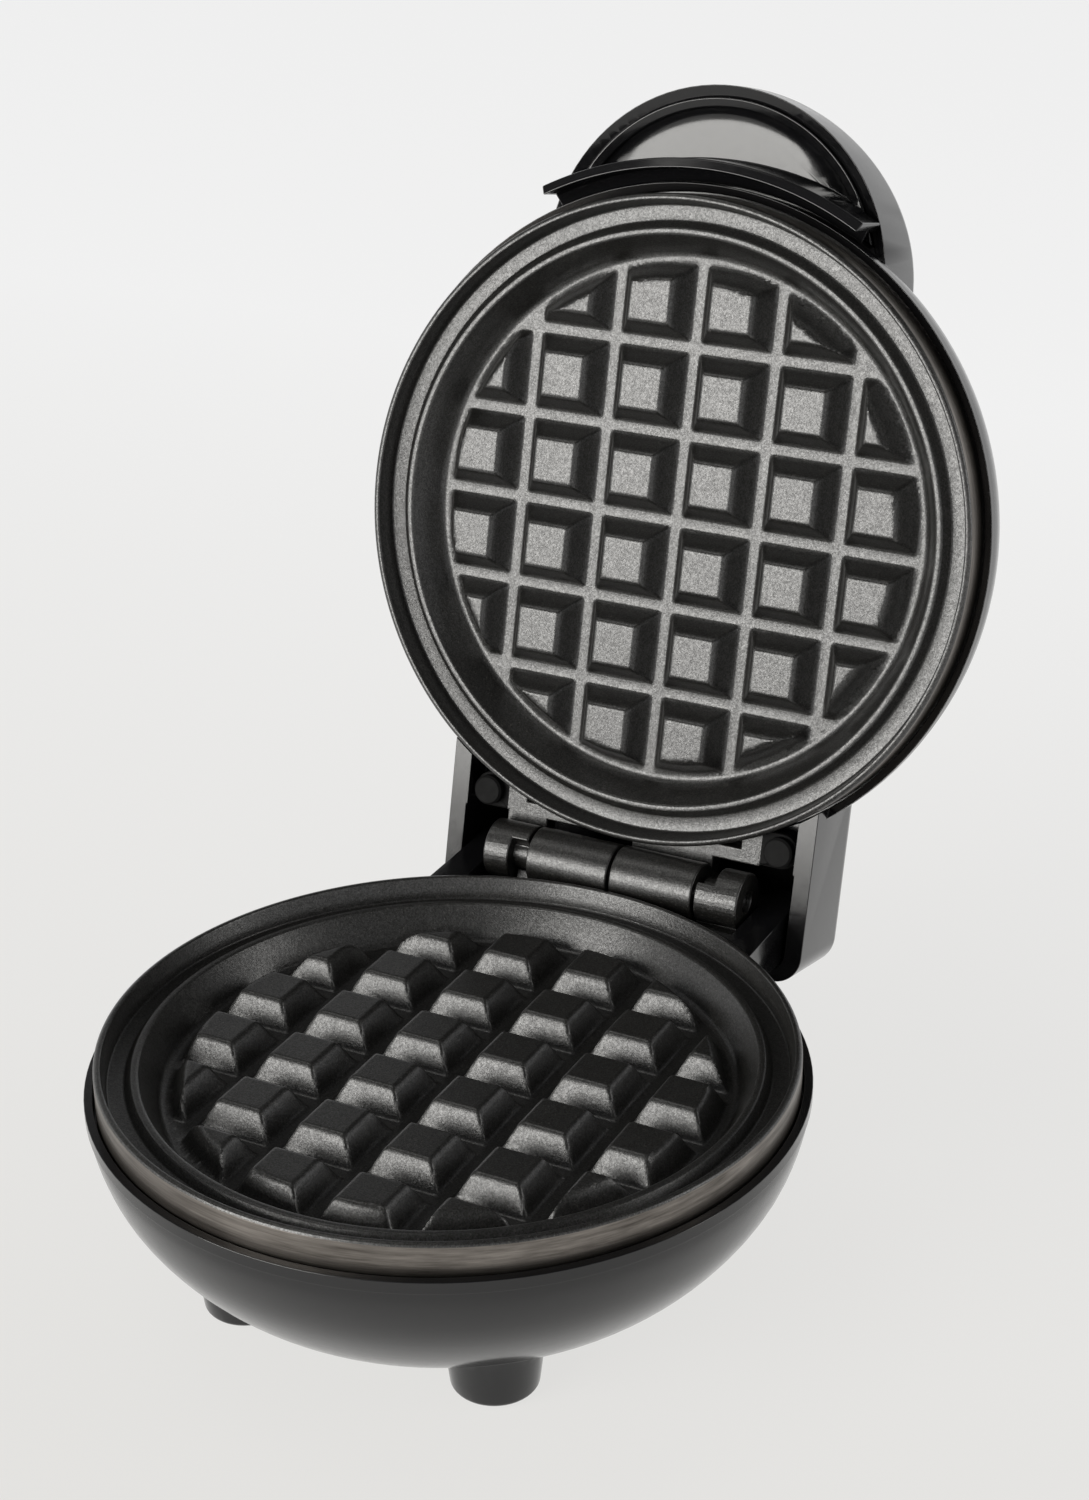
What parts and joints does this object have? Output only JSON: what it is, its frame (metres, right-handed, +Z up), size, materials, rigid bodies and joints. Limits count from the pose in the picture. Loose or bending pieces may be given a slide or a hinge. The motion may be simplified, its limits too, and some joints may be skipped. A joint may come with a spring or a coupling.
{
  "type": "mini belgian waffle maker",
  "caption": "Round countertop waffle iron on feet, hinged domed lid held open, deep square-peg non-stick plates, front lift handle with visor.",
  "frame": {"origin": "on the table, under the middle of the open maker's width and depth", "axes": "+X to the right along the hinge axis seen from the handle side, +Y back towards the hinge, +Z up"},
  "size_m": [0.1244, 0.1866, 0.1836],
  "materials": {
    "shell_plastic": "satin to gloss moulded black",
    "handle_plastic": "gloss moulded black",
    "nonstick_plate": "cast, dark speckled non-stick coating, brushed bare side",
    "element_steel": "dull heat-tinted tube",
    "reflector_steel": "bright pressed sheet",
    "reflector_aluminium": "bright pressed sheet",
    "thermostat_metal": "dull pressed cap",
    "spring_steel": "plain spring strip",
    "fuse_can": "plain can",
    "terminal_nylon": "natural nylon",
    "zinc_screws": "zinc plated",
    "lead_insulation": "woven glass sleeve",
    "bushing_rubber": "matt black",
    "pad_rubber": "matt black",
    "pin_steel": "ground",
    "lens_amber": "tinted clear lens",
    "lamp_glass": "small neon lamp"
  },
  "bodies": {
    "base": {"base_shell": "shell_plastic", "lower_plate": "nonstick_plate", "lower_element": "element_steel", "lower_reflector": "reflector_steel", "thermostat": "thermostat_metal", "thermostat_strap": "spring_steel", "thermal_fuse": "fuse_can", "fuse_clip": "spring_steel", "terminal_block": "terminal_nylon", "terminal_screws": "zinc_screws", "base_leads": "lead_insulation", "cord_bushing": "bushing_rubber", "base_screws": "zinc_screws", "foot_pads": "pad_rubber", "hinge_pin": "pin_steel"},
    "lid": {"lid_shell": "shell_plastic", "handle_insert": "handle_plastic", "upper_plate": "nonstick_plate", "upper_element": "element_steel", "upper_reflector": "reflector_aluminium", "reflector_screws": "zinc_screws", "lid_screws": "zinc_screws", "indicator_lens": "lens_amber", "indicator_lamp": "lamp_glass", "lid_leads": "lead_insulation"}
  },
  "joints": [
    {"name": "lid_hinge", "type": "hinge", "parent": "base", "child": "lid", "pos_m": [0, 0.03571, 0.0438], "axis": [1, 0, 0], "range_deg": [0, 103.6]}
  ]
}
